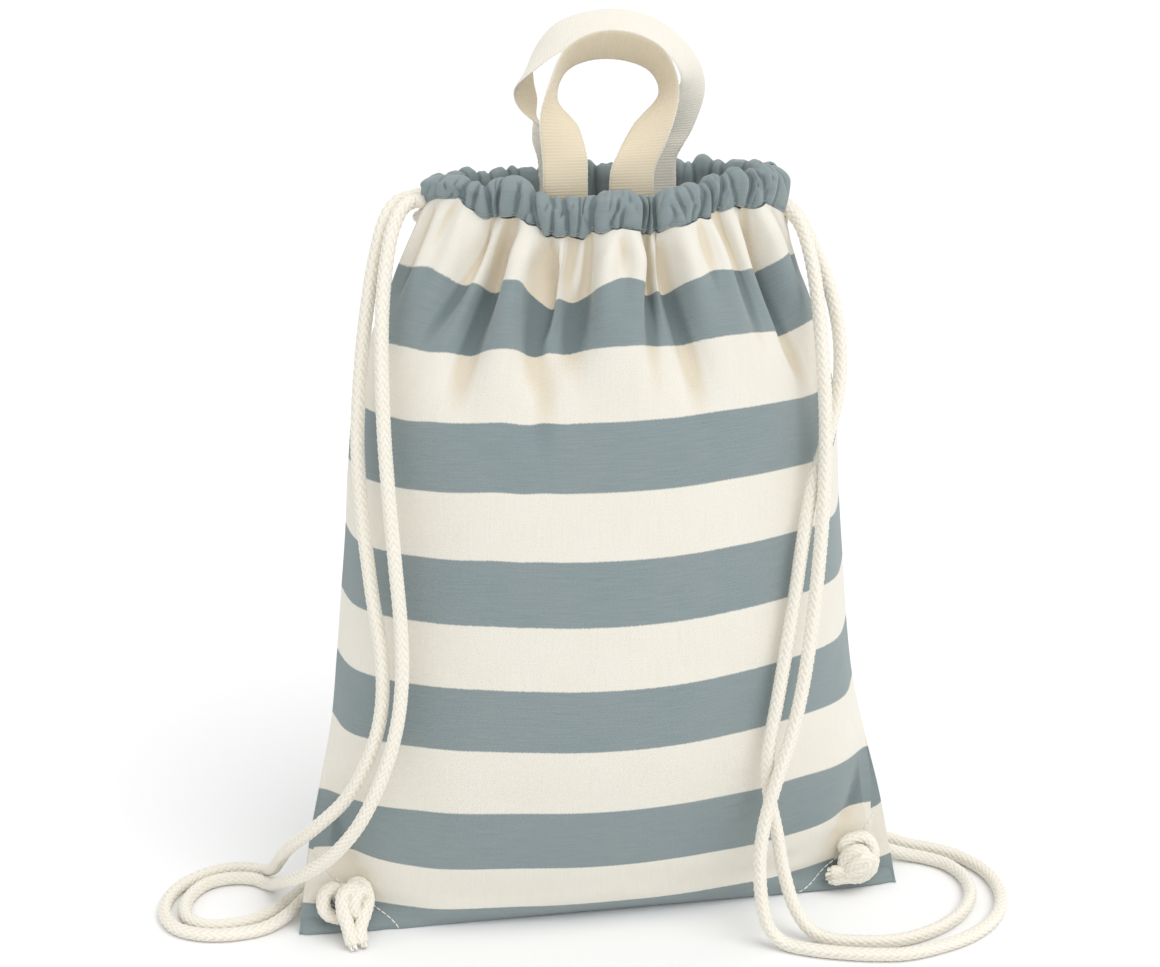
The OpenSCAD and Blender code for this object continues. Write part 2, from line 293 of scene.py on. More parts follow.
def fix_to_sack(obj, slot, *nodes):
    """A piece that rides with the sack, in place of CAD nodes if it has any."""
    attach(obj, "sack")
    if nodes:
        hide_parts(*nodes)


# ---- materials ------------------------------------------------------------------------------
CREAM = (0.83, 0.80, 0.715)
BLUE = (0.224, 0.284, 0.297)
# painted shade: colours that the canvas is mixed towards where it creases in, standing for the shade in its
# folds
CREAM_PAINTED_FOLD_SHADE = (0.66, 0.56, 0.40)
BLUE_PAINTED_FOLD_SHADE = (0.105, 0.138, 0.145)
ROPE = (0.93, 0.90, 0.81)
WEBBING = (0.86, 0.83, 0.745)
WEBBING_INSIDE = (0.78, 0.685, 0.515)
THREAD = (0.90, 0.88, 0.82)
BLUE_THREAD = (0.27, 0.34, 0.355)
# stripes, yarns and ribs on the cloth in metres, as the shaders read them
STRIPE = 0.04
STRIPE_BLUR = 0.035
WEAVE_PITCH = 0.00075
RIB_PITCH = 0.0017
WARP_PITCH = 0.0011
# the inside of the webbing has cloth places this far across, so that its material can tell it
INSIDE_U = 1.1


class Nodes:
    """Short way to build a node tree."""

    def __init__(self, name):
        self.mat = bpy.data.materials.new(name)
        self.mat.use_nodes = True
        self.tree = self.mat.node_tree
        self.tree.nodes.clear()
        self.out = self.add("ShaderNodeOutputMaterial")
        self.bsdf = self.add("ShaderNodeBsdfPrincipled")
        self.link(self.bsdf, "BSDF", self.out, "Surface")

    def add(self, kind, **facts):
        node = self.tree.nodes.new(kind)
        for key, value in facts.items():
            setattr(node, key, value)
        return node

    def link(self, a, out, b, into):
        self.tree.links.new(a.outputs[out], b.inputs[into])

    def feed(self, value, socket):
        self.tree.links.new(value, self.bsdf.inputs[socket])

    def math(self, op, a, b=None, clamp=False):
        node = self.add("ShaderNodeMath", operation=op, use_clamp=clamp)
        for i, x in enumerate((a, b)):
            if x is None:
                continue
            if isinstance(x, (int, float)):
                node.inputs[i].default_value = x
            else:
                self.tree.links.new(x, node.inputs[i])
        return node.outputs[0]

    def mix(self, factor, a, b):
        node = self.add("ShaderNodeMix", data_type="RGBA")
        for socket, x in ((node.inputs[0], factor), (node.inputs[6], a), (node.inputs[7], b)):
            if isinstance(x, (int, float)):
                socket.default_value = x
            elif isinstance(x, tuple):
                socket.default_value = (*x, 1)
            else:
                self.tree.links.new(x, socket)
        return node.outputs[2]

    def noise(self, vector, scale, detail=2.0, stretch=None, roughness=0.5):
        if stretch is not None:
            m = self.add("ShaderNodeMapping")
            m.inputs["Scale"].default_value = stretch
            self.tree.links.new(vector, m.inputs["Vector"])
            vector = m.outputs[0]
        n = self.add("ShaderNodeTexNoise")
        n.inputs["Scale"].default_value = scale
        n.inputs["Detail"].default_value = detail
        n.inputs["Roughness"].default_value = roughness
        self.tree.links.new(vector, n.inputs["Vector"])
        return n.outputs[0]

    def spread(self, value, low, high, to_low, to_high):
        node = self.add("ShaderNodeMapRange")
        node.inputs["From Min"].default_value = low
        node.inputs["From Max"].default_value = high
        node.inputs["To Min"].default_value = to_low
        node.inputs["To Max"].default_value = to_high
        self.tree.links.new(value, node.inputs["Value"])
        return node.outputs[0]

    def bump(self, height, strength, distance):
        node = self.add("ShaderNodeBump")
        node.inputs["Strength"].default_value = strength
        node.inputs["Distance"].default_value = distance
        self.tree.links.new(height, node.inputs["Height"])
        self.feed(node.outputs[0], "Normal")

    def set(self, **facts):
        for key, value in facts.items():
            self.bsdf.inputs[key.replace("_", " ")].default_value = value

    def uv(self):
        node = self.add("ShaderNodeUVMap", uv_map="cloth")
        split = self.add("ShaderNodeSeparateXYZ")
        self.link(node, "UV", split, "Vector")
        return node.outputs[0], split.outputs[0], split.outputs[1]

    def place(self):
        return self.add("ShaderNodeTexCoord").outputs["Object"]

    def wave(self, value, pitch):
        return self.math("SINE", self.math("MULTIPLY", value, 2 * math.pi / pitch))

    def point_value(self, name):
        return self.add("ShaderNodeAttribute", attribute_name=name).outputs["Fac"]

    def cotton(self, color, yarn, smooth, rough, sheen):
        """Colour, roughness along the yarn and the soft sheen that all the cotton has."""
        self.feed(color, "Base Color")
        self.feed(self.spread(yarn, 0.3, 0.7, smooth, rough), "Roughness")
        self.set(Sheen_Weight=sheen, Sheen_Roughness=0.5, Specular_IOR_Level=0.2)
        return self.mat


def canvas_material(name, striped):
    n = Nodes(name)
    vector, u, v = n.uv()
    slub_u = n.noise(vector, 1.0, 3.0, (45.0, 1400.0, 1.0))
    slub_v = n.noise(vector, 1.0, 3.0, (1400.0, 45.0, 1.0))
    cloud = n.noise(vector, 22.0, 3.0)
    cross = n.math("MULTIPLY", n.wave(u, 2 * WEAVE_PITCH), n.wave(v, 2 * WEAVE_PITCH))
    color = CREAM
    shade = CREAM_PAINTED_FOLD_SHADE
    if striped:
        grain = n.noise(vector, 1.0, 1.0, (900.0, 120.0, 1.0))
        place = n.math("ADD", v, n.math("MULTIPLY", n.math("SUBTRACT", grain, 0.5), 0.0009))
        wave = n.wave(n.math("ADD", place, STRIPE / 2), 2 * STRIPE)
        band = n.spread(wave, -STRIPE_BLUR, STRIPE_BLUR, 0.0, 1.0)
        color = n.mix(band, CREAM, BLUE)
        shade = n.mix(band, CREAM_PAINTED_FOLD_SHADE, BLUE_PAINTED_FOLD_SHADE)
    light = n.mix(n.spread(slub_u, 0.32, 0.68, 0.0, 0.05), color, (1.0, 0.99, 0.95))
    dark = n.mix(n.spread(slub_v, 0.38, 0.72, 0.0, 0.05), light, (0.22, 0.20, 0.16))
    warm = n.mix(n.spread(cloud, 0.35, 0.7, 0.0, 0.05), dark, (0.50, 0.42, 0.30))
    yarn = n.mix(n.spread(cross, -1.0, 1.0, 0.07, 0.0), warm, (0.16, 0.15, 0.13))
    # painted shade: the canvas turns darker and warmer where the "fold" value says that it creases in
    deep = n.mix(n.spread(n.point_value("fold"), 0.0, 0.50, 0.0, 0.62), yarn, shade)
    height = n.math("ADD", n.math("MULTIPLY", cross, 0.5), n.math("ADD", slub_u, slub_v))
    n.bump(height, 0.45, 0.00025)
    return n.cotton(deep, slub_u, 0.84, 0.94, 0.25)


def rope_material():
    n = Nodes("cotton_braid")
    vector, _, _ = n.uv()
    fibre = n.noise(vector, 1.0, 3.0, (700.0, 2600.0, 1.0))
    cloud = n.noise(n.place(), 60.0, 2.0)
    color = n.mix(n.spread(fibre, 0.3, 0.7, 0.0, 0.22), ROPE, (0.56, 0.48, 0.34))
    color = n.mix(n.spread(cloud, 0.35, 0.65, 0.0, 0.10), color, (0.93, 0.91, 0.85))
    # painted shade: the braid turns darker and warmer in the grooves where its yarns sink, by the "grain"
    # yarn height
    color = n.mix(n.spread(n.point_value("grain"), 0.0, 0.55, 0.40, 0.0), color, (0.58, 0.47, 0.30))
    n.bump(fibre, 0.5, 0.0003)
    return n.cotton(color, fibre, 0.86, 0.95, 0.3)


def webbing_material():
    n = Nodes("cotton_webbing")
    vector, u, v = n.uv()
    rib = n.wave(v, RIB_PITCH)
    warp = n.wave(u, WARP_PITCH)
    slub = n.noise(vector, 1.0, 3.0, (900.0, 120.0, 1.0))
    cross = n.math("MULTIPLY", rib, warp)
    inner = n.math("GREATER_THAN", u, INSIDE_U / 2)
    face = n.mix(inner, WEBBING, WEBBING_INSIDE)
    color = n.mix(n.spread(slub, 0.3, 0.7, 0.0, 0.12), face, (0.66, 0.57, 0.42))
    color = n.mix(n.spread(cross, -1.0, 1.0, 0.09, 0.0), color, (0.50, 0.42, 0.30))
    height = n.math("ADD", n.math("MULTIPLY", cross, 0.5), n.math("MULTIPLY", rib, 0.5))
    n.bump(height, 0.35, 0.0004)
    return n.cotton(color, slub, 0.84, 0.94, 0.25)


def thread_material(name, color):
    n = Nodes(name)
    ply = n.noise(n.place(), 1800.0, 2.0)
    color = n.mix(n.spread(ply, 0.3, 0.7, 0.0, 0.25), color, tuple(0.68 * c for c in color))
    n.feed(color, "Base Color")
    n.bump(ply, 0.3, 0.0001)
    n.feed(n.spread(ply, 0.3, 0.7, 0.6, 0.75), "Roughness")
    n.set(Sheen_Weight=0.1, Specular_IOR_Level=0.3)
    return n.mat


CANVAS = canvas_material("striped_cotton_canvas", True)
PLAIN = canvas_material("plain_cotton_canvas", False)
BRAID = rope_material()
TAPE = webbing_material()
STITCH = thread_material("natural_thread", THREAD)
BLUE_STITCH = thread_material("blue_thread", BLUE_THREAD)

# ---- cords ----------------------------------------------------------------------------------
CORD_D = 8.0
LEFT_BACK = (
    (-100, 9.6, 444.5), (-102, 6.2, 444.5), (-107, 5, 444), (-114, 4, 441), (-121, -2, 432),
    (-128, -11, 411), (-134, -19, 383), (-139, -25, 348), (-142, -31, 310), (-141, -39, 270),
    (-138, -48, 230), (-134, -55, 190), (-136, -58, 156), (-145, -57, 126), (-158, -51, 100),
    (-176, -40, 77), (-191, -19, 54), (-197, 6, 32), (-201, 28, 14), (-208, 43, 4.7), (-223, 49, 4.2),
    (-242, 45, 4.2), (-258, 33, 4.2), (-267, 16, 4.2), (-268, -3, 4.2), (-260, -19, 4.2),
    (-244, -28, 4.2), (-226, -30, 4.2), (-208, -26, 4.2), (-194, -16, 6), (-183, -5, 10), (-173, 2, 14),
    (-165, 3, 16),
)
LEFT_FRONT = (
    (-100, -9.6, 444.5), (-102, -6.2, 444.5), (-107, -6, 443.5), (-113, -10, 439), (-119, -17, 426),
    (-124, -26, 402), (-127, -36, 372), (-128, -45, 330), (-127, -52, 290), (-125, -58, 250),
    (-123, -62, 210), (-124, -65, 176), (-129, -67, 146), (-139, -67, 116), (-152, -63, 88),
    (-168, -53, 64), (-184, -36, 44), (-195, -14, 28), (-199, 8, 14), (-204, 24, 5.2), (-214, 34, 4.2),
    (-228, 37, 4.2), (-242, 33, 4.2), (-252, 21, 4.2), (-256, 6, 4.2), (-254, -8, 4.2), (-244, -17, 4.2),
    (-229, -19, 4.2), (-214, -15, 4.2), (-201, -6, 4.2), (-190, 5, 5.2), (-178, 14, 9), (-166, 16, 12),
    (-156, 10, 15), (-154, 3, 16),
)
RIGHT_FRONT = (
    (100, -9.6, 433.5), (102, -6.2, 433.5), (107, -6, 432.5), (113, -12, 428), (117, -21, 417),
    (120, -33, 394), (122, -44, 360), (123, -53, 322), (122, -60, 282), (119, -66, 242), (115, -71, 204),
    (110, -75, 168), (103, -79, 136), (94, -82, 108), (87, -84, 82), (84, -86, 58), (85, -88, 34),
    (89, -91, 15), (98, -96, 5.2), (112, -104, 4.2), (130, -111, 4.2), (149, -116, 4.2), (168, -118, 4.2),
    (189, -114, 4.2), (210, -106, 4.2), (228, -93, 4.2), (241, -75, 4.2), (247, -53, 4.2),
    (245, -31, 4.2), (235, -12, 4.2), (222, 0, 4.2), (208, 8, 4.2), (195, 16, 6), (182, 21, 9),
    (169, 20, 12.5), (159, 13, 15), (154, 3, 16),
)
RIGHT_BACK = (
    (100, 9.6, 433.5), (102, 6.2, 433.5), (107, 5, 433), (114, 4, 430), (121, 0, 420), (129, -8, 401),
    (135, -16, 381), (138, -24, 358), (136, -33, 333), (127, -44, 305), (117, -53, 280), (110, -61, 248),
    (105, -66, 215), (100, -70, 185), (95, -73, 155), (90, -75, 122), (92, -72, 94), (97, -74, 68),
    (101, -77, 44), (107, -82, 22), (116, -89, 8), (129, -96, 4.2), (146, -101, 4.2), (164, -103, 4.2),
    (183, -99, 4.2), (201, -90, 4.2), (216, -77, 4.2), (227, -59, 4.2), (230, -39, 4.2), (225, -22, 4.2),
    (214, -11, 4.2), (201, -5, 5.2), (188, -2, 9), (176, 2, 13), (166, 3, 16),
)
GRAINS = 8
GRAIN_PITCH = 5.0
BRAID_DEPTH = 0.95
CORD_SIDES = 36
CORD_STEP = 1.0


def braid_radii(line, radius, sides):
    """Radius and yarn height of a braided cord at each ring and side: yarns cross over and under."""
    s = lengths(line)[:, None]
    a = (np.arange(sides) / sides)[None, :]
    p = GRAINS * a + s / GRAIN_PITCH
    q = GRAINS * a - s / GRAIN_PITCH
    even = (np.floor(p) + np.floor(q)) % 2 == 0
    x = 2 * (p - np.floor(p)) - 1
    y = 2 * (q - np.floor(q)) - 1
    along = np.where(even, y, x)
    across = np.where(even, x, y)
    h = (1 - across ** 2) * (0.45 + 0.55 * (1 - along ** 2))
    return radius + BRAID_DEPTH * (h - 0.75), h


def braid_part(line, radius=CORD_D / 2, sides=CORD_SIDES, step=CORD_STEP, taper=0.0):
    """A braided cord along a line, as its resampled line and a part for joined_object."""
    line = resample(line, step)
    r, grain = braid_radii(line, radius, sides)
    if taper:
        s = lengths(line)
        end = np.clip((s[-1] - s) / taper, 0, 1)
        r = r * (0.55 + 0.45 * np.sqrt(end))[:, None]
    s = lengths(line)
    girth = np.arange(sides) * CORD_D * math.pi / sides
    uv = np.stack(np.broadcast_arrays(s[:, None], girth[None, :]), -1)
    uv = np.concatenate([uv.reshape(-1, 2), [[0, 0], [s[-1], 0]]])
    return line, (*tube_mesh(line, r, sides), uv, np.concatenate([grain.ravel(), [0.5, 0.5]]))


def make_strand(name, route):
    line, part = braid_part(spline(route, 12))
    obj = joined_object(name + "_cord", [part], BRAID)
    fix_to_sack(obj, "rope", name + "_strand")


make_strand("left_back", LEFT_BACK)
make_strand("left_front", LEFT_FRONT)
make_strand("right_front", RIGHT_FRONT)
make_strand("right_back", RIGHT_BACK)

# ---- shape of the filled sack -----------------------------------------------------------------
# height, half width, seam y, front y, back y, filled share of the half width
STATIONS = np.array((
    (0, 188, -30, -30, 34, 0.7),
    (12, 186, -27.2, -42, 48, 0.73),
    (30, 183, -23, -50, 57, 0.78),
    (60, 178, -16, -60, 66, 0.88),
    (90, 171, -10, -68, 72, 0.96),
    (130, 162, -4, -76, 77, 1),
    (170, 157, 0, -79, 80, 1),
    (210, 153, 0, -80, 80, 1),
    (250, 149, 0, -80, 80, 1),
    (290, 146, 0, -78, 78, 1),
    (330, 141, 0, -74, 74, 1),
    (370, 129, 0, -67, 67, 1),
    (405, 114, 0, -55, 55, 1),
    (426, 103, 0, -43, 43, 1),
), float)
TOP_Z = 426.0
SECTION_P = 2.2
SECTION_Q = 0.62
CLOTH_HALF = 190.0
STITCH_V = 460.0


def station(z):
    return [hermite(z, STATIONS[:, 0], STATIONS[:, k]) for k in range(1, 6)]


def outline_y(x, z, side):
    """Outer face of the filled shape at a place across and a height."""
    half, seam, front, back, share = station(z)
    deep = np.abs((front if side < 0 else back) - seam)
    s = np.clip(np.abs(x) / (half * share), 0, 1)
    full = np.power(np.clip(1 - s ** SECTION_P, 0, 1), SECTION_Q)
    return seam + side * (1.6 * (1 - full) + deep * full)


COLS = 115
ROWS = 121


def section(z, side, cols):
    """Points an equal way apart across the shape at a height."""
    half = station(z)[0]
    a = np.linspace(-math.pi / 2, math.pi / 2, 241)
    x = np.sin(a) * half
    y = outline_y(x, np.full_like(x, z), side)
    return evenly(np.stack([x, y, np.full_like(x, z)], 1), cols)


def body_grid(side):
    """Rows of points from the fold up to the casing, an equal way apart along each column."""
    heights = np.concatenate([[0.0], np.linspace(0.0, TOP_Z, 150)])
    lines = np.stack([section(z, side, COLS) for z in heights])
    t = np.linspace(-1, 1, COLS)
    lines[0] = np.stack([t * STATIONS[0, 1], np.full(COLS, -30.0), np.zeros(COLS)], 1)
    return np.stack([evenly(lines[:, c], ROWS) for c in range(COLS)], 1)


# ---- the gathered casings ---------------------------------------------------------------------
CASING_HALF = 100.0
CASING_H = 25.0
# cloth from the stitch line to the top
CASING_CLOTH = 28.0
CASING_COLS = 480
# most that the folds of a casing cut in
DEEPEST_CREASE = 6.8
# rise of the front casing's lower edge, over the whole width and towards its left end
FRONT_LIFT = 3.6
LEFT_END_LIFT = 11.0
# distance of each face from the middle line, and how much more where the tube is widest
OUTER_OFF = 3.8
OUTER_BULGE = 5.8
INNER_OFF = 4.9
INNER_BULGE = 1.6
# the least that the outer face keeps in a crease, and how much more where the tube is widest
LEAST_OFF = 1.4
LEAST_BULGE = 3.3
# creases of each casing: place across, lean over the casing's height, depth, width
FRONT_CREASES = (
    (-88, 2, 2.0, 2.5), (-77, 4, 4.5, 2.2), (-71, 3, 3.0, 1.8), (-65, -3, 5.5, 2.0), (-58, 2, 4.0, 1.6),
    (-49, 5, 1.6, 3.0), (-40, -2, 6.5, 2.0), (-32, 1, 3.0, 1.8), (-25, -2, 5.0, 2.0), (-18, 2, 2.2, 2.0),
    (-9, 1, 5.5, 1.9), (3, -4, 1.4, 3.5), (15, -1, 6.0, 1.8), (20, 1, 4.5, 1.6), (25, -1, 5.5, 1.7),
    (34, 3, 2.2, 2.6), (42, -3, 2.0, 2.4), (49, 2, 4.5, 1.9), (55, -4, 3.5, 1.8), (62, 3, 5.0, 2.0),
    (69, -4, 4.0, 2.2), (78, 2, 5.5, 2.0), (87, -3, 3.5, 2.2), (94, 2, 2.5, 2.0),
)
BACK_CREASES = (
    (-93, 2, 3.0, 2.2), (-83, -2, 4.5, 2.0), (-76, 3, 3.0, 1.8), (-66, 2, 5.5, 2.0), (-57, -2, 3.5, 1.8),
    (-48, 2, 5.0, 2.0), (-39, -3, 4.0, 2.0), (-29, 2, 5.5, 1.9), (-19, 3, 3.0, 2.4), (-10, -2, 5.5, 1.8),
    (-3, 2, 4.0, 1.8), (7, -2, 5.5, 2.0), (17, 3, 3.5, 2.2), (28, -2, 5.0, 2.0), (38, 2, 4.0, 2.0),
    (48, -2, 5.5, 1.9), (56, 3, 3.5, 1.8), (63, -2, 5.5, 2.0), (72, 3, 4.0, 2.2), (81, -3, 5.0, 2.0),
    (90, 2, 4.0, 1.8), (97, 1, 3.0, 2.0),
)
# middle line of each gathered casing in plan, with its rise above the casing's usual height
FRONT_LINE = (
    (-93, -5, 5), (-88, -14, 8), (-79, -21, 8), (-68, -26, 6), (-60, -27, 8), (-55, -31, 10),
    (-47, -33, 9), (-37, -38.5, 1.5), (-29, -40, 0), (-14, -40, -1), (-8, -44, 2), (2, -45, 3),
    (11, -44, 2), (17, -40, -1), (26, -40, 0), (33, -43, 3), (46, -38, 4), (54, -33, 5), (63, -31, 8),
    (72, -30, 10), (79, -25, 7), (87, -23, 10), (95, -15, 8), (101, -7, 4),
)
BACK_LINE = (
    (-93, 5, 3), (-87, 14, 3), (-79, 20, 2), (-70, 26, 3), (-58, 29, 0), (-45, 33, 2), (-34, 33, 0),
    (-22, 38, 1), (-10, 36, -1), (2, 40, 2), (12, 37, 0), (24, 40, 2), (36, 37, 0), (48, 39, 3),
    (58, 34, 1), (68, 34, 4), (80, 27, 2), (90, 20, 4), (97, 12, 4), (101, 7, 4),
)


def casing_line(side, z):
    line = spline(FRONT_LINE if side < 0 else BACK_LINE, 20)
    line[:, 2] += z
    return resample(line, 0.75)


SMALL_CREASES = 130


def crease_depth(x, creases, tilt, seed):
    """How deep the creases cut at places along a casing, with their lean at this height."""
    total = np.zeros_like(x)
    for place, lean, depth, width in creases:
        total += depth * np.exp(-np.abs((x - place - lean * tilt) / width) ** 1.6)
    rng = np.random.default_rng(seed)
    for _ in range(SMALL_CREASES):
        place = rng.uniform(-98, 98)
        lean = rng.uniform(-9, 9)
        depth = rng.uniform(0.4, 1.7)
        width = rng.uniform(0.8, 1.8)
        middle = rng.uniform(-0.45, 0.45)
        reach = rng.uniform(0.15, 0.4)
        fade = math.exp(-((tilt - middle) / reach) ** 2)
        total += depth * fade * np.exp(-((x - place - lean * (tilt - middle)) / width) ** 2)
    return np.minimum(total, DEEPEST_CREASE)


def casing_curves(side, cols):
    """Along the middle line of a casing: points and outward directions, an equal way apart."""
    pts = evenly(casing_line(side, 0.0), cols)
    flat = pts * [1.0, 1.0, 0.0]
    kernel = np.hanning(max(5, cols // 12))
    kernel /= kernel.sum()
    pad = len(kernel) // 2
    long = np.pad(flat, ((pad, pad), (0, 0)), mode="reflect", reflect_type="odd")
    calm = np.stack([np.convolve(long[:, k], kernel, mode="valid")[:cols] for k in range(3)], 1)
    d = unit(np.gradient(calm, axis=0))
    outward = np.stack([d[:, 1], -d[:, 0], np.zeros(cols)], 1)
    outward *= np.sign((outward[:, 1] * side).mean())
    return pts, outward


def casing_grid(side, creases, cols, around):
    """Rows go from the stitch line up the outer face, over the top and down the inner face."""
    pts, out = casing_curves(side, cols)
    x = pts[:, 0]
    lift = np.zeros(cols)
    if side < 0:
        lift = FRONT_LIFT * smooth_step(CASING_HALF - np.abs(x), 2, 22)
        lift += LEFT_END_LIFT * smooth_step(-x, 58, 88)
    grid = np.zeros((around, cols, 3))
    for r, f in enumerate(np.linspace(0, 1, around)):
        outer = f <= 0.5
        up = 2 * f if outer else 2 * (1 - f)
        tilt = up - 0.5
        cut = crease_depth(x, creases, tilt if outer else tilt * 0.5 + 0.4, 5 + side)
        # the tube is widest around the cords and closes in a round top
        wide = math.sin(math.pi * (0.12 + 0.5 * up ** 0.8)) if up < 0.75 else 1.0
        round_top = math.sqrt(max(0.0, 1 - max(0.0, (up - 0.68) / 0.32) ** 2))
        if outer:
            off = OUTER_OFF + (OUTER_BULGE * wide - cut * (0.6 + 0.45 * wide)) * round_top
            off = np.maximum(off, LEAST_OFF + LEAST_BULGE * wide)
        else:
            off = -(INNER_OFF + (INNER_BULGE * wide - 0.3 * cut) * round_top)
        low = TOP_Z + 0.6 + lift + 0.3 * cut
        high = TOP_Z + CASING_H + 2.0 - 0.55 * cut
        grid[r] = pts + out * (off * (0.25 + 0.75 * round_top))[:, None]
        grid[r, :, 2] = low + (high - low) * up ** 0.92 + pts[:, 2]
    return grid


def stitch_curve(side, creases, cols):
    """The line where the panel meets its casing."""
    return casing_grid(side, creases, cols, 3)[0]


# ---- gathers below the casing -------------------------------------------------------------------
# folds that run down from the casing: place across, height (valley if negative), width, reach down, lean
FRONT_RUNS = (
    (-88, 6, 8, 55, -10), (-77, -6, 4, 45, -6), (-64, -16, 4.5, 62, -4), (-51, 10, 8, 55, 1),
    (-40, -15, 3.5, 50, 3), (-26, -13, 12, 80, -4), (-10, -6, 4, 35, -8), (3, 14, 9, 50, -3),
    (16, -14, 3.5, 45, 3), (28, -14, 4.5, 60, 6), (50, 11, 13, 60, 6), (64, -5, 3.5, 45, 8),
    (77, -14, 4, 110, 20), (89, 9, 7, 70, 14),
)
BACK_RUNS = (
    (-86, 6, 7, 60, -8), (-74, -9, 4.5, 60, -6), (-58, 8, 8, 65, -4), (-44, -10, 4.5, 75, -2),
    (-28, 8, 8, 60, 0), (-14, -9, 4, 60, 2), (0, 9, 8, 70, 0), (14, -10, 4.5, 65, 2), (30, 9, 9, 60, 3),
    (47, -9, 4.5, 80, 5), (64, 8, 8, 60, 6), (79, -9, 4.5, 70, 8), (90, 6, 6, 60, 8),
)


def gather_field(x, z, runs):
    """Outward shift of the cloth under the casing."""
    down = TOP_Z - z
    total = np.zeros_like(x)
    for place, height, width, reach, lean in runs:
        part = np.clip(down / reach, 0, 1.6)
        centre = place + lean * part
        wide = width * (1 + part)
        fade = np.exp(-part ** 2 * 1.3) * smooth_step(down, -6, 12)
        total += height * fade * np.exp(-np.abs((x - centre) / wide) ** 1.8)
    return total


# soft dents lower down: x, z, height, across, along, slant
FRONT_DENTS = (
    (-118, 250, -3.0, 10, 60, 0.10), (-100, 330, 2.5, 14, 45, 0.0), (-128, 120, -3.0, 14, 50, -0.25),
    (-150, 55, 2.5, 12, 34, -0.5), (-60, 35, -1.5, 40, 16, 0.0), (70, 30, -1.5, 40, 14, 0.0),
    (122, 100, -2.5, 14, 60, 0.2), (140, 60, 2.5, 12, 34, 0.5), (104, 240, -1.6, 12, 80, 0.05),
    (40, 180, 1.2, 60, 60, 0.0), (-20, 300, -1.2, 50, 40, 0.0),
)
BACK_DENTS = (
    (-100, 240, -2.5, 14, 70, 0.1), (90, 280, -2.5, 14, 60, -0.1), (0, 200, 1.5, 60, 70, 0.0),
    (-60, 90, -2.0, 40, 24, 0.0), (70, 80, -2.0, 40, 24, 0.0), (130, 120, 2.0, 14, 50, 0.2),
    (-130, 120, 2.0, 14, 50, -0.2),
)


def dent_field(x, z, dents):
    total = np.zeros_like(x)
    for cx, cz, height, across, along, slant in dents:
        dx = x - cx - slant * (z - cz)
        total += height * np.exp(-(dx / across) ** 2 - ((z - cz) / along) ** 2)
    return total


# ---- cloth relaxation -----------------------------------------------------------------------------


class Cloth:
    """Front and back panels as two grids of points that share their side seams and the fold."""

    def __init__(self, front, back):
        self.x = np.stack([front, back])
        self.start = self.x.copy()
        self.free = np.ones(self.x.shape[:3] + (1,))
        self.free[:, 0] = 0
        self.free[:, -1] = 0
        self.free[:, :, 0] = 0
        self.free[:, :, -1] = 0
        self.rest_u = np.linalg.norm(np.diff(self.x, axis=2), axis=-1)
        self.rest_v = np.linalg.norm(np.diff(self.x, axis=1), axis=-1)

    def pull(self, a, b, rest, stiff, push_only=False):
        d = self.x[b] - self.x[a]
        length = np.linalg.norm(d, axis=-1)
        wa = self.free[a][..., 0]
        wb = self.free[b][..., 0]
        w = np.maximum(wa + wb, 1e-6)
        gap = length - rest
        if push_only:
            gap = np.minimum(gap, 0)
        c = (stiff * gap / (np.maximum(length, 1e-6) * w))[..., None] * d
        self.x[a] += c * wa[..., None]
        self.x[b] -= c * wb[..., None]

    def stretch(self, stiff):
        every = slice(None)
        for first in (0, 1):
            n = (COLS - 1 - first) // 2
            a = (every, every, slice(first, first + 2 * n, 2))
            b = (every, every, slice(first + 1, first + 1 + 2 * n, 2))
            self.pull(a, b, self.rest_u[:, :, first:first + 2 * n:2], stiff)
            m = (ROWS - 1 - first) // 2
            a = (every, slice(first, first + 2 * m, 2))
            b = (every, slice(first + 1, first + 1 + 2 * m, 2))
            self.pull(a, b, self.rest_v[:, first:first + 2 * m:2], stiff)

    def bend(self, stiff):
        for before in ((slice(None),), (slice(None), slice(None))):
            near, mid, far = (before + (part,) for part in (slice(0, -2), slice(1, -1), slice(2, None)))
            c = (self.x[near] + self.x[far]) * 0.5 - self.x[mid]
            self.x[mid] += c * stiff * self.free[mid]
            self.x[near] -= c * stiff * 0.25 * self.free[near]
            self.x[far] -= c * stiff * 0.25 * self.free[far]

    def hold(self, inward, outward):
        """Keeps each panel near the filled shape."""
        for k, side in enumerate((-1, 1)):
            p = self.x[k]
            z = np.clip(p[..., 2], 0, TOP_Z)
            y = outline_y(p[..., 0], z, side)
            slope = (outline_y(p[..., 0] + 1.0, z, side) - outline_y(p[..., 0] - 1.0, z, side)) / 2
            scale = np.clip(np.sqrt(1 + slope ** 2), 1, 3)
            off = (p[..., 1] - y) * side
            kept = np.clip(off, -inward[k] * scale, outward[k] * scale)
            p[..., 1] += (kept - off) * side * 0.5 * self.free[k, ..., 0]
            p[..., 2] = np.maximum(p[..., 2], 0.2)

    def run(self, rounds, inward, outward):
        before = self.x.copy()
        for _ in range(rounds):
            move = (self.x - before) * 0.85
            before = self.x.copy()
            self.x += move * self.free
            self.x[..., 2] -= 0.01 * self.free[..., 0]
            for _ in range(3):
                self.stretch(0.9)
            self.bend(0.05)
            self.hold(inward, outward)


def refine(grid, times):
    """A grid with each span cut in parts, on a smooth surface through its points."""
    tall = spline(grid, times)
    return np.swapaxes(spline(np.swapaxes(tall, 0, 1), times), 0, 1)


# ridges take more cloth, so the stripes rise on them and dip in the valleys
RISE_ON_FOLDS = 0.36
# half width of the sack where the folds' places are given
TOP_HALF = 103.0
# height below the casing over which the panels bend to meet it
MEET_H = 34.0
# extra cloth just below the casing, across and up, as shares of its size
SLACK_ACROSS = 0.18
SLACK_UP = 0.03
SETTLING_ROUNDS = 120


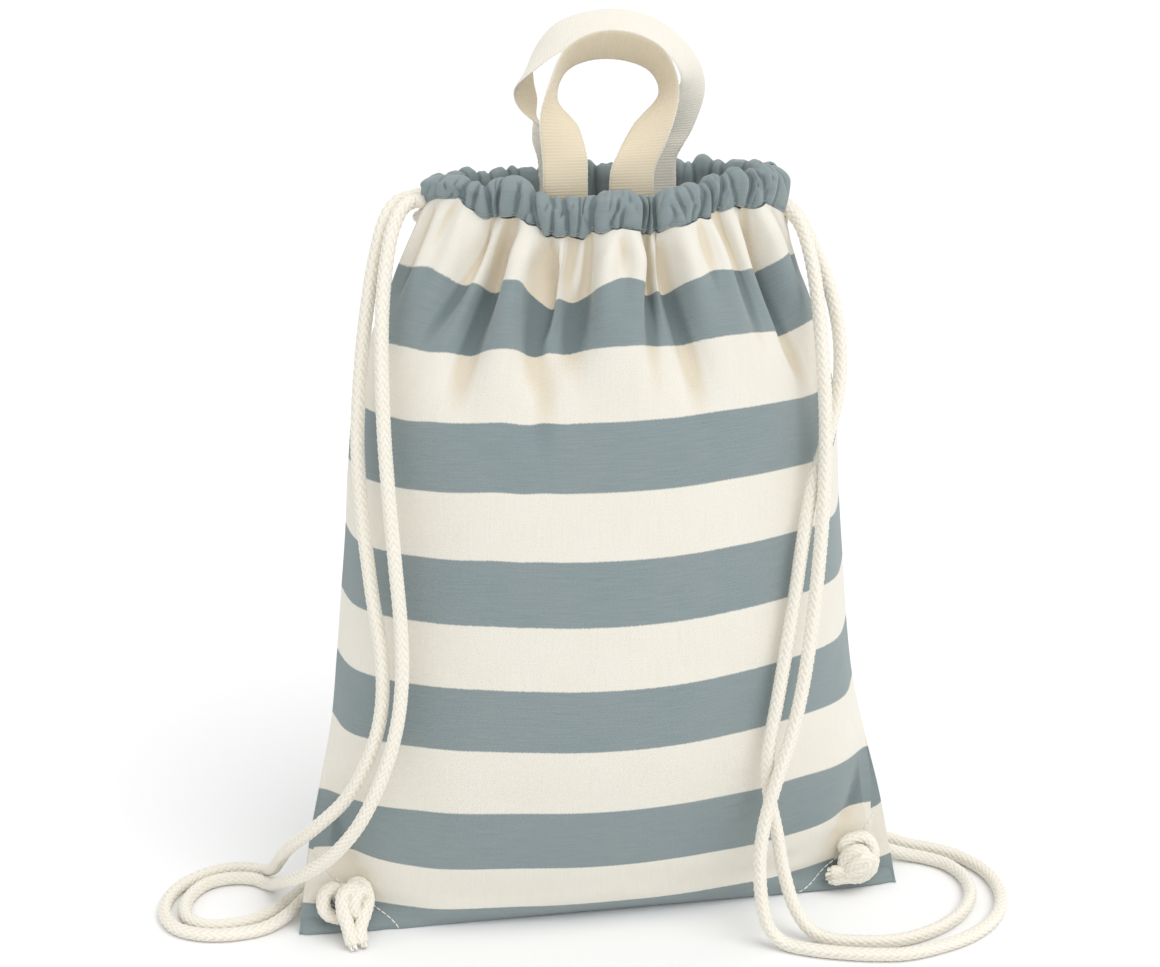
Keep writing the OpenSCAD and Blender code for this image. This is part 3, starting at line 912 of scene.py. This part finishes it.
def start_panel(side, creases, runs, dents):
    grid = body_grid(side)
    base_normals = grid_normals(grid) * (1 if side < 0 else -1)
    x = grid[..., 0]
    z = grid[..., 2]
    down = TOP_Z - z
    shift = gather_field(x * TOP_HALF / np.maximum(station(z)[0], TOP_HALF), z, runs)
    shift = shift + dent_field(x, z, dents)
    edge = 1 - np.abs(np.linspace(-1, 1, COLS)) ** 12
    shift = shift * edge[None, :]
    top = stitch_curve(side, creases, COLS)
    blend = smooth_step(down, MEET_H, 0.0)[..., None]
    grid = grid + base_normals * shift[..., None] + blend * (top - grid[-1])[None]
    grid[..., 2] += RISE_ON_FOLDS * shift * smooth_step(down, 2.0, 26.0) * smooth_step(down, 150.0, 60.0)
    return grid


def make_cloth():
    front = start_panel(-1, FRONT_CREASES, FRONT_RUNS, FRONT_DENTS)
    back = start_panel(1, BACK_CREASES, BACK_RUNS, BACK_DENTS)
    seam = (front[:, [0, -1]] + back[:, [0, -1]]) / 2
    top = smooth_step(np.arange(ROWS), ROWS - 8, ROWS - 1)[:, None, None]
    front[:, [0, -1]] = seam * (1 - top) + front[:, [0, -1]] * top
    back[:, [0, -1]] = seam * (1 - top) + back[:, [0, -1]] * top
    cloth = Cloth(front, back)
    down = TOP_Z - cloth.x[..., 2]
    near = np.exp(-(down / 50.0) ** 2)
    cloth.rest_u *= 1.0 + SLACK_ACROSS * near[:, :, 1:]
    cloth.rest_v *= 1.0 + SLACK_UP * near[:, 1:]
    inward = 3.0 + 16.0 * np.exp(-(down / 75.0) ** 2)
    outward = 3.0 + 14.0 * np.exp(-(down / 60.0) ** 2)
    cloth.run(SETTLING_ROUNDS, inward, outward)
    return cloth


cloth = make_cloth()
TIMES = 2
# cloth that gives no height at the middle of the front: in the curve under the sack, at the belly's foot
# and in the lean towards the casing
UNDER_LOSS = 7.5
FOOT_LOSS = 7.0
LEAN_LOSS = 24.0
# height on a flat side ear, and how far up the cloth that is
EAR_HEIGHTS = (0, 19.5, 52, 88, 131, 500)
EAR_CLOTH = (0, 20, 60, 100, 140, 509)
# how much higher the front's stripes hang in the middle and at its right top
FRONT_RISE = 6.4
RIGHT_TOP_RISE = 2.0


def height_on_front(v):
    """Height above the floor, at the middle of the front, of a place that far up the cloth."""
    under = UNDER_LOSS * smooth_step(v, 0, 45)
    foot = FOOT_LOSS * np.exp(-((v - 75) / 38) ** 2)
    lean = LEAN_LOSS * smooth_step(v, 395, 470)
    return v - under - foot - lean


def cloth_heights(rows):
    """Cloth height of each row of points, counted from the fold."""
    z = body_grid(-1)[:, COLS // 2, 2]
    known = np.linspace(0, STITCH_V, 240)
    v = np.interp(z, height_on_front(known), known)
    v[-1] = STITCH_V
    return np.interp(np.linspace(0, 1, rows), np.linspace(0, 1, ROWS), v)


def stripe_heights(z, middle, u, front):
    """Cloth heights over a panel: the ears lie flat, and the front's middle hangs a little higher."""
    if not front:
        t = (u + CLOTH_HALF) / (2 * CLOTH_HALF)
        z = z[:, :1] * (1 - t) + z[:, -1:] * t
    flat = np.interp(z, EAR_HEIGHTS, EAR_CLOTH)
    ear = smooth_step(np.abs(u), 105, 165) * smooth_step(z, 131, 90)
    v = middle[:, None] * (1 - ear) + flat * ear
    if front:
        inner = np.where(u < 0, smooth_step(u, -148, -50), smooth_step(u, 178, 60))
        v = v - FRONT_RISE * inner * smooth_step(v, 425, 380) * smooth_step(v, 4, 20)
        v = v - RIGHT_TOP_RISE * smooth_step(u, 120, 180) * smooth_step(v, 345, 420)
    return v


def widths(rows, cols):
    """Cloth place across of each point of a grid."""
    return np.linspace(-CLOTH_HALF, CLOTH_HALF, cols)[None, :] * np.ones((rows, 1))


def make_panel(name, k, outward, node):
    grid = refine(cloth.x[k], TIMES)
    rows, cols = grid.shape[:2]
    u = widths(rows, cols)
    v = stripe_heights(grid[..., 2], cloth_heights(rows), u, k == 0)
    obj = canvas_sheet(name, grid, np.stack([u, v], -1), outward, reach=8)
    fix_to_sack(obj, "striped_canvas", node)
    return obj


front_canvas = make_panel("front_canvas", 0, 1, "front_panel")
back_canvas = make_panel("back_canvas", 1, -1, "back_panel")


def make_casing(name, side, creases, node):
    cols = CASING_COLS
    around = 49
    grid = casing_grid(side, creases, cols, around)
    up = CASING_CLOTH * (1 - np.abs(np.linspace(-1, 1, around)))
    v = (STITCH_V + up)[:, None] * np.ones((1, cols))
    obj = canvas_sheet(name, grid, np.stack([widths(around, cols), v], -1), -side)
    fix_to_sack(obj, "striped_canvas", node)
    return obj


front_ruffle = make_casing("front_casing_ruffle", -1, FRONT_CREASES, "front_casing")
back_ruffle = make_casing("back_casing_ruffle", 1, BACK_CREASES, "back_casing")


UPPER_CORD_Z = 444.5
LOWER_CORD_Z = 433.5
# place of a cord's turn in the far side opening
TURN_X = 101.5
TURN_Y = 3.0
# the cords inside the casings are squeezed a little
SQUEEZE = 0.7


def cord_line(side, z):
    """Middle line of a cord inside a casing, as in the CAD part but following the gathers' rise."""
    line = casing_line(side, z)
    ease = smooth_step(CASING_HALF - np.abs(line[:, 0]), 0.0, 8.0)
    lift = 0.0
    if side < 0 and z == LOWER_CORD_Z:
        lift = 3.0 + 4.0 * smooth_step(-line[:, 0], 60.0, 88.0)
    line[:, 2] = z + (line[:, 2] - z + lift) * ease
    return line


def make_run(name, far, z, node):
    """A cord's way through the front casing, round the far side opening and back through the back casing."""
    out = cord_line(-1, z)[::far]
    home = cord_line(1, z)[::-far]
    turn = np.array([[far * TURN_X, -TURN_Y, z], [far * TURN_X, TURN_Y, z]])
    line = resample(np.concatenate([out, turn, home]), 4.0)
    _, part = braid_part(line, radius=CORD_D / 2 - SQUEEZE, step=2.0, sides=20)
    fix_to_sack(joined_object(name, [part], BRAID), "rope", node)


make_run("left_cord_in_casing", 1, UPPER_CORD_Z, "left_cord_run")
make_run("right_cord_in_casing", -1, LOWER_CORD_Z, "right_cord_run")

# ---- handles --------------------------------------------------------------------------------
WEBBING_W = 25.0
WEBBING_T = 2.0
WEBBING_POINTS = 25
# pitch and share of the small waves of its edges
EDGE_PITCH = 3.4
EDGE_WAVE = 0.012
# places along each handle's loop in millimetres, each with the direction of its width
FRONT_LOOP = (
    ((-23, -29, 428), (1, 0, 0)), ((-23, -29, 442), (1, 0, 0)), ((-23, -29, 455.7), (1, 0, 0)),
    ((-23, -29, 464), (1, 0, 0)), ((-23.5, -28.5, 473), (1, .03, -.02)),
    ((-26, -26.5, 488), (.92, .36, -.15)), ((-28.5, -22, 505), (.30, .80, -.50)),
    ((-21, -16, 521), (.1, .75, -.65)), ((-5, -12, 528), (0, .68, -.73)),
    ((14, -12, 527.5), (-.03, .68, -.73)), ((30, -15, 520), (-.12, .75, -.65)),
    ((35.5, -20, 506), (-.28, .78, -.55)), ((27, -25.5, 489), (-.85, .45, -.25)),
    ((19, -28.5, 473), (-.99, .1, -.05)), ((15, -29, 464), (-1, 0, 0)), ((14, -29, 455.7), (-1, 0, 0)),
    ((14, -29, 442), (-1, 0, 0)), ((14, -29, 428), (-1, 0, 0)),
)
BACK_LOOP = (
    ((-17, 29, 428), (-1, 0, 0)), ((-17, 29, 442), (-1, 0, 0)), ((-17, 29, 455.7), (-1, 0, 0)),
    ((-19, 29, 464), (-.98, .2, 0)), ((-24, 28.5, 472), (-.6, .8, 0)), ((-31, 26.5, 482), (.1, .99, 0)),
    ((-36, 24, 492), (.55, .83, .05)), ((-38.5, 21, 503), (.55, .82, .15)),
    ((-35, 16, 515), (.25, .9, .35)), ((-20, 12, 529.5), (0, .86, .51)), ((0, 10, 536), (0, .84, .54)),
    ((20, 10, 536), (0, .84, .54)), ((40, 12, 528), (.1, .84, .53)), ((55, 17, 511), (.5, .78, .38)),
    ((56.5, 23, 494), (.88, .46, .12)), ((49, 28.5, 474), (.99, .1, .02)), ((43, 29, 464), (1, 0, 0)),
    ((39, 29, 455.7), (1, 0, 0)), ((39, 29, 442), (1, 0, 0)), ((39, 29, 428), (1, 0, 0)),
)


def make_handle(name, loop, nodes):
    """A flat band of webbing along a loop of places, each with the direction of its width."""
    line = spline([p for p, w in loop], 16)
    width = spline([w for p, w in loop], 16)
    both = resample(np.concatenate([line, width * 10], 1), 1.5)
    line = both[:, :3]
    w = unit(both[:, 3:])
    n = unit(np.cross(unit(np.gradient(line, axis=0)), w))
    s = lengths(line)
    a = np.linspace(-1, 1, WEBBING_POINTS)
    scallop = 1 + EDGE_WAVE * np.sin(s * 2 * math.pi / EDGE_PITCH)[:, None]
    thick = (WEBBING_T / 2) * np.power(np.clip(1 - np.abs(a) ** 8, 0.0, 1), 0.5)
    ends = a[None, :, None] * w[:, None, :] * (WEBBING_W / 2) * scallop[..., None]
    top = line[:, None, :] + ends + n[:, None, :] * thick[None, :, None]
    low = line[:, None, :] + ends - n[:, None, :] * thick[None, :, None]
    ring = np.concatenate([top, low[:, ::-1][:, 1:-1]], 1)
    sides = ring.shape[1]
    inside = np.concatenate([np.zeros(WEBBING_POINTS), np.full(WEBBING_POINTS - 2, INSIDE_U / MM)])
    across = np.concatenate([a, a[::-1][1:-1]]) * WEBBING_W / 2 + inside
    uv = np.stack(np.broadcast_arrays(across[None, :], s[:, None]), -1).reshape(-1, 2)
    verts = np.concatenate([ring.reshape(-1, 3), line[:1], line[-1:]])
    uv = np.concatenate([uv, [[0, 0], [0, s[-1]]]])
    centre = len(line) * sides
    i = np.arange(sides)
    j = (i + 1) % sides
    last = (len(line) - 1) * sides
    faces = grid_faces(len(line), sides, wrap=True)[:, ::-1]
    start_cap = np.stack([np.full(sides, centre), i, j], -1)
    end_cap = np.stack([np.full(sides, centre + 1), last + j, last + i], -1)
    obj = joined_object(name, [(verts, (faces, start_cap, end_cap), uv)], TAPE, sharp=50)
    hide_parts(*nodes)
    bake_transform(obj)


make_handle("front_webbing", FRONT_LOOP, ("front_handle", "front_handle_ends"))
make_handle("back_webbing", BACK_LOOP, ("back_handle", "back_handle_ends"))

# ---- knots ------------------------------------------------------------------------------------
HOLE_X = 159.0
HOLE_Z = 22.0
EAR_SLOPE = 0.2333
HOLE_Y = -30.0 + EAR_SLOPE * HOLE_Z
EAR_TILT = math.atan(EAR_SLOPE)
KNOT_RADIUS = 4.3
# how much a knot is drawn together across, up the ear and out of it
KNOT_TIGHT = (0.86, 0.86, 0.93)
YARNS = 16


def ear_place(side, local):
    """Points of the knot's own frame, X across, Y up the ear and Z out of it, put on the ear."""
    p = np.asarray(local, float)
    c, s = math.cos(EAR_TILT), math.sin(EAR_TILT)
    up = np.array([0.0, s, c])
    out = np.array([0.0, -c, s])
    return (np.array([side * HOLE_X, HOLE_Y, HOLE_Z]) + p[:, :1] * np.array([1.0, 0, 0])
            + p[:, 1:2] * up + p[:, 2:3] * out)


LEFT_KNOT = (
    ((-2.5, 0, -25), (-2.5, 0, -10), (-4, 1, 3), (-8, 7, 7), (-14, 5, 9), (-16, -3, 10), (-13, -10, 10),
     (-5, -13, 10), (3, -11, 11), (9, -5, 11), (10, 4, 13), (5, 9, 16), (-2, 6, 19), (-3, -4, 21),
     (-1, -13, 22), (1, -21, 24), (2, -28.5, 26)),
    ((2.5, 0, -25), (2.5, 0, -10), (4, 2, 3), (7, 9, 5), (13, 7, 7), (15, -2, 9), (12, -10, 12),
     (5, -7, 18), (6, 3, 19), (11, 7, 15), (15, 1, 12), (13, -8, 15), (9, -16, 20), (8, -22, 23),
     (9, -28, 25)),
)
RIGHT_KNOT = (
    ((-2.5, 0, -25), (-2.5, 0, -10), (-4, 1, 3), (-7, 7, 7), (-1, 12, 9), (8, 12, 10), (13, 4, 11),
     (11, -7, 11), (4, -13, 11), (-5, -11, 12), (-9, -3, 13), (-4, 5, 17), (3, 5, 19), (5, -3, 20),
     (-1, -9, 18), (-10, -10, 14), (-19, -11, 11)),
    ((2.5, 0, -25), (2.5, 0, -10), (5, 0, 3), (10, 6, 5), (14, -2, 7), (12, -11, 9), (4, -16, 10),
     (-6, -14, 13), (-5, -6, 18), (3, 1, 21), (9, -2, 18), (7, -10, 15), (-2, -14, 14), (-11, -15, 12),
     (-18, -17, 9)),
)


def frayed_end(line, radius, seed):
    """A short brush of yarns past a cut end."""
    rng = np.random.default_rng(seed)
    parts = []
    end = line[-1]
    d = unit(line[-1] - line[-3])
    side_a = unit(np.cross(d, [0.3, 0.5, 0.8]))
    side_b = np.cross(d, side_a)
    for _ in range(YARNS):
        a = rng.uniform(0, 2 * math.pi)
        r = radius * 0.75 * math.sqrt(rng.uniform(0, 1))
        flare = rng.uniform(0.9, 1.5)
        base = end - d * 1.5 + (side_a * math.cos(a) + side_b * math.sin(a)) * r
        tip = end + d * rng.uniform(1.2, 3.2) + (side_a * math.cos(a) + side_b * math.sin(a)) * r * flare
        mid = (base + tip) / 2 + rng.normal(0, 0.2, 3)
        yarn = spline([base, mid, tip], 3)
        parts.append(tube_mesh(yarn, np.full(len(yarn), 0.5), 6))
    return parts


def make_knot(name, side, curves, node):
    parts = []
    for k, curve in enumerate(curves):
        line = ear_place(side, spline(curve, 10) * KNOT_TIGHT)
        line, part = braid_part(line, radius=KNOT_RADIUS, step=0.8, taper=2.0)
        parts.append(part)
        parts += frayed_end(line, 3.4, 11 + 7 * k + side)
    obj = joined_object(name, parts, BRAID)
    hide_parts(node)
    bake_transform(obj)


make_knot("left_knot_cord", -1, LEFT_KNOT, "left_knot")
make_knot("right_knot_cord", 1, RIGHT_KNOT, "right_knot")

# ---- seams, corner patches and their stitching ----------------------------------------------------


def on_cloth(k, u, v):
    """Points and outward normals on a panel at cloth places u across and v up from the fold."""
    grid = cloth.x[k]
    n = grid_normals(grid) * (1 if k == 0 else -1)
    heights = cloth_heights(ROWS)
    r = np.interp(v, heights, np.arange(ROWS))
    c = (np.asarray(u, float) / CLOTH_HALF + 1) / 2 * (COLS - 1)
    r0 = np.clip(np.floor(r).astype(int), 0, ROWS - 2)
    c0 = np.clip(np.floor(c).astype(int), 0, COLS - 2)
    fr = (r - r0)[:, None]
    fc = (c - c0)[:, None]

    def mixed(g):
        return ((g[r0, c0] * (1 - fc) + g[r0, c0 + 1] * fc) * (1 - fr)
                + (g[r0 + 1, c0] * (1 - fc) + g[r0 + 1, c0 + 1] * fc) * fr)
    return mixed(grid), unit(mixed(n))


def stitches(line, normals, length=2.9, gap=1.0, radius=0.38):
    """Short raised threads along a line on the cloth."""
    s = lengths(line)
    parts = []
    at = gap
    while at + length < s[-1]:
        t = np.linspace(at, at + length, 6)
        p = np.stack([np.interp(t, s, line[:, k]) for k in range(3)], 1)
        n = np.stack([np.interp(t, s, normals[:, k]) for k in range(3)], 1)
        rise = np.sin(np.linspace(0.12, 1, 6) * math.pi * 0.94) * radius * 1.1 - radius * 0.35
        parts.append(tube_mesh(p + n * rise[:, None], np.full(6, radius), 6))
        at += length + gap
    return parts


# cloth places of the corner stitching's ends: up the side, across the bottom, and in from the edges
CORNER_V = 62.0
CORNER_U = 126.0
EDGE_IN = 1.5
BOTTOM_IN = 2.0
# the seam allowance: from its foot to its top, and its width
SEAM_FOOT = 4.0
SEAM_TOP = 425.0
SEAM_W = 8.0
# the lining of a corner: in from the edge, height, and width at the foot and at the tip
LINING_IN = 11.0
LINING_H = 50.0
LINING_W = 44.0
LINING_TIP = 4.0
INNER_T = 0.5
# the worked edge of a hole: radius, height above the ear, thickness, number of threads
WORKED_R = 7.0
WORKED_OUT = 3.6
WORKED_T = 1.0
WORKED_THREADS = 44


def make_inner_piece(name, u, v, node):
    """A closed thin piece between the two plies of the cloth, from a grid of cloth places."""
    front, _ = on_cloth(0, u.ravel(), v.ravel())
    back, _ = on_cloth(1, u.ravel(), v.ravel())
    middle = ((front + back) / 2).reshape(u.shape + (3,))
    half = grid_normals(middle) * INNER_T / 2
    verts = np.concatenate([(middle - half).reshape(-1, 3), (middle + half).reshape(-1, 3)])
    obj = joined_object(name, [(verts, (sheet_faces(*u.shape, -1),))], PLAIN, sharp=SHARP_ANGLE)
    fix_to_sack(obj, "plain_canvas", node)


def make_side_seam(name, side, node):
    v = np.linspace(SEAM_FOOT, SEAM_TOP, 130)[:, None] * np.ones((1, 5))
    u = side * (CLOTH_HALF - EDGE_IN - np.linspace(0, SEAM_W, 5)[None, :] * np.ones((130, 1)))
    make_inner_piece(name, u, v, node)


def make_corner(name, side, node):
    """The patch that lies between the plies of a bottom corner, narrower towards its top."""
    t = np.linspace(0, 1, 14)[:, None]
    v = SEAM_FOOT + LINING_H * t * np.ones((1, 9))
    width = (LINING_W - LINING_TIP) * (1 - t) + LINING_TIP
    u = side * (CLOTH_HALF - LINING_IN - width * np.linspace(0, 1, 9)[None, :])
    make_inner_piece(name, u, v, node)


def make_corner_stitching(name, side):
    """A slanting row of stitches over a bottom corner, on the front and on the back."""
    t = np.linspace(0, 1, 60)
    u = side * (CLOTH_HALF - EDGE_IN - (CLOTH_HALF - CORNER_U) * t)
    v = BOTTOM_IN + (CORNER_V - BOTTOM_IN) * (1 - t)
    parts = stitches(*on_cloth(0, u, v)) + stitches(*on_cloth(1, u, v))
    fix_to_sack(joined_object(name, parts, STITCH), "thread")


def make_hole_edge(name, side, node):
    """The worked edge of a corner hole: a ring with a bump for each thread."""
    a = np.linspace(0, 2 * math.pi, 121)[:-1, None]
    around = np.arange(10)[None, :] * 2 * math.pi / 10
    r = WORKED_T * (0.82 + 0.18 * np.abs(np.sin(a * WORKED_THREADS / 2)))
    reach = WORKED_R + r * np.cos(around)
    local = np.stack([reach * np.cos(a), reach * np.sin(a), WORKED_OUT + r * np.sin(around)], -1)
    here = np.arange(a.size * around.size).reshape(a.size, around.size)
    ahead = np.roll(here, -1, axis=0)
    faces = np.stack([here, ahead, np.roll(ahead, -1, axis=1), np.roll(here, -1, axis=1)], -1).reshape(-1, 4)
    obj = joined_object(name, [(ear_place(side, local.reshape(-1, 3)), (faces,))], STITCH)
    fix_to_sack(obj, "thread", node)


def make_casing_stitching(name, side, creases):
    """The row of stitches that closes a casing, just above its lower edge."""
    grid = casing_grid(side, creases, CASING_COLS, 25)
    normals = grid_normals(grid) * -side
    parts = stitches(grid[1], normals[1], length=2.6, gap=0.9, radius=0.34)
    fix_to_sack(joined_object(name, parts, BLUE_STITCH), "thread")


make_casing_stitching("front_casing_stitches", -1, FRONT_CREASES)
make_casing_stitching("back_casing_stitches", 1, BACK_CREASES)
for word, sign in (("left", -1), ("right", 1)):
    make_side_seam(word + "_seam_allowance", sign, word + "_side_seam")
    make_corner(word + "_corner_lining", sign, word + "_corner_patch")
    make_corner_stitching(word + "_corner_stitches", sign)
    make_hole_edge(word + "_worked_eyelet", sign, word + "_hole_edge")

# ---- floor and light -----------------------------------------------------------------------------
FLOOR_HALF = 6.0
FLOOR_GREY = (0.93, 0.93, 0.93, 1)
SUN_FROM = Vector((1.3, -1.9, 3.6))
SUN_ANGLE = math.radians(40)
SUN_STRENGTH = 1.15
SKY_WHITE = (1.0, 1.0, 1.0, 1)
SKY_STRENGTH = 0.86


def make_floor():
    mesh = bpy.data.meshes.new("floor")
    r = FLOOR_HALF
    mesh.from_pydata([(-r, -r, 0), (r, -r, 0), (r, r, 0), (-r, r, 0)], [], [(0, 1, 2, 3)])
    n = Nodes("pale_floor")
    n.set(Base_Color=FLOOR_GREY, Roughness=0.9, Specular_IOR_Level=0.1)
    add_object("floor", mesh, n.mat)


def make_world():
    world = bpy.data.worlds.new("studio")
    bpy.context.scene.world = world
    world.use_nodes = True
    back = world.node_tree.nodes["Background"]
    back.inputs["Color"].default_value = SKY_WHITE
    back.inputs["Strength"].default_value = SKY_STRENGTH


def make_sun():
    data = bpy.data.lights.new("key_light", "SUN")
    data.angle = SUN_ANGLE
    data.energy = SUN_STRENGTH
    obj = add_object("key_light", data)
    obj.location = SUN_FROM
    obj.rotation_mode = "QUATERNION"
    obj.rotation_quaternion = (-SUN_FROM).to_track_quat("-Z", "Y")


make_floor()
make_world()
make_sun()
bpy.context.scene.view_settings.view_transform = "Standard"
